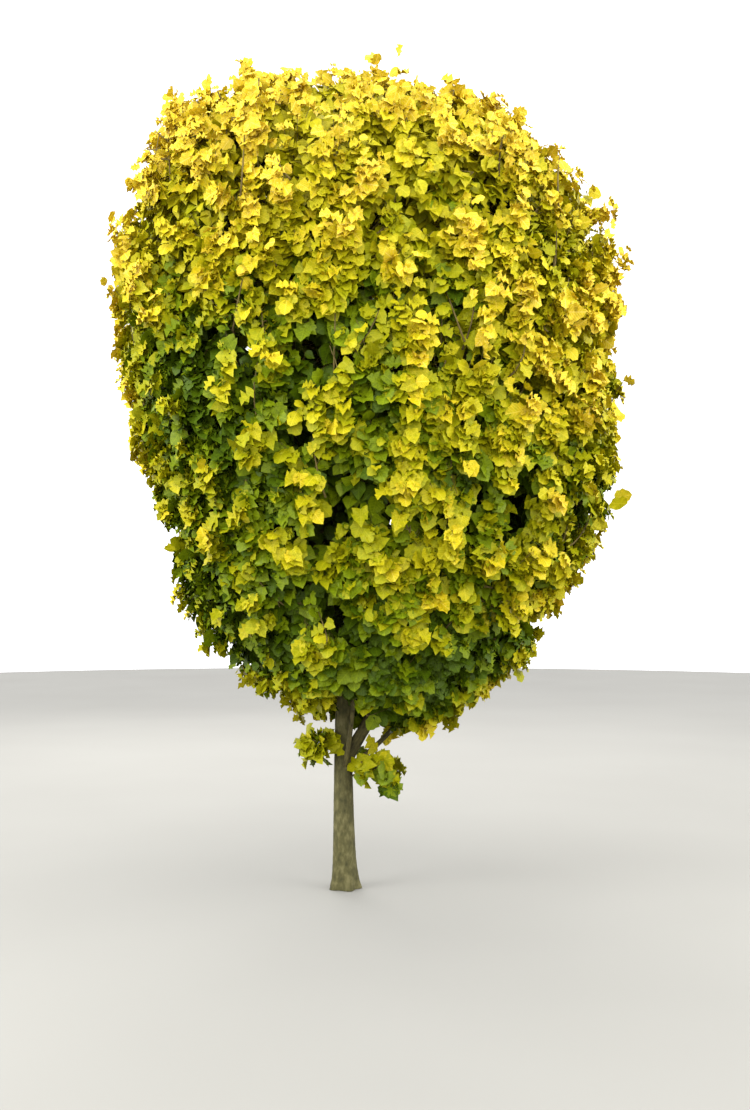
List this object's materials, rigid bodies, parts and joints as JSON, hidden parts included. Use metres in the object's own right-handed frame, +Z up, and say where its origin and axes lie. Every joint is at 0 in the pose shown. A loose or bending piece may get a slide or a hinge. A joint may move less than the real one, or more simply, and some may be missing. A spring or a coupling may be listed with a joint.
{
  "type": "golden dutch elm tree",
  "caption": "Small golden-leaved elm tree rooted in the ground: short flared trunk, steeply rising boughs and a dense egg-shaped crown of leafy masses.",
  "frame": {"origin": "centre of the flat cut under the trunk, at ground level", "axes": "+Z up along the trunk, +X to the viewer's right, -Y towards the viewer"},
  "size_m": [2.1748, 2.164, 3.4678],
  "materials": {
    "bark": "rough grey-brown bark",
    "gold_leaves": "satin golden-yellow leaves",
    "lime_leaves": "satin lime-green leaves"
  },
  "bodies": {
    "root": {"trunk": "bark", "main_bough_1": "bark", "main_bough_2": "bark", "main_bough_3": "bark", "main_bough_4": "bark", "main_bough_5": "bark", "bough_upper_1": "bark", "bough_upper_2": "bark", "bough_upper_3": "bark", "bough_upper_4": "bark", "bough_upper_5": "bark", "bough_upper_6": "bark", "bough_upper_7": "bark", "bough_middle_1": "bark", "bough_middle_2": "bark", "bough_middle_3": "bark", "bough_middle_4": "bark", "bough_middle_5": "bark", "bough_middle_6": "bark", "bough_middle_7": "bark", "bough_lower_1": "bark", "bough_lower_2": "bark", "bough_lower_3": "bark", "bough_lower_4": "bark", "bough_lower_5": "bark", "bough_skirt_1": "bark", "bough_skirt_2": "bark", "bough_skirt_3": "bark", "foliage_top": "gold_leaves", "foliage_shoulder_1": "gold_leaves", "foliage_shoulder_2": "gold_leaves", "foliage_shoulder_3": "gold_leaves", "foliage_shoulder_4": "gold_leaves", "foliage_shoulder_5": "gold_leaves", "foliage_upper_1": "gold_leaves", "foliage_upper_2": "gold_leaves", "foliage_upper_3": "gold_leaves", "foliage_upper_4": "gold_leaves", "foliage_upper_5": "gold_leaves", "foliage_upper_6": "gold_leaves", "foliage_upper_7": "gold_leaves", "foliage_middle_1": "gold_leaves", "foliage_middle_2": "gold_leaves", "foliage_middle_3": "gold_leaves", "foliage_middle_4": "gold_leaves", "foliage_middle_5": "gold_leaves", "foliage_middle_6": "gold_leaves", "foliage_middle_7": "gold_leaves", "foliage_lower_1": "lime_leaves", "foliage_lower_2": "lime_leaves", "foliage_lower_3": "lime_leaves", "foliage_lower_4": "lime_leaves", "foliage_lower_5": "lime_leaves", "foliage_skirt_1": "lime_leaves", "foliage_skirt_2": "lime_leaves", "foliage_skirt_3": "lime_leaves", "low_spray_left": "lime_leaves", "low_spray_right": "lime_leaves"}
  },
  "joints": []
}
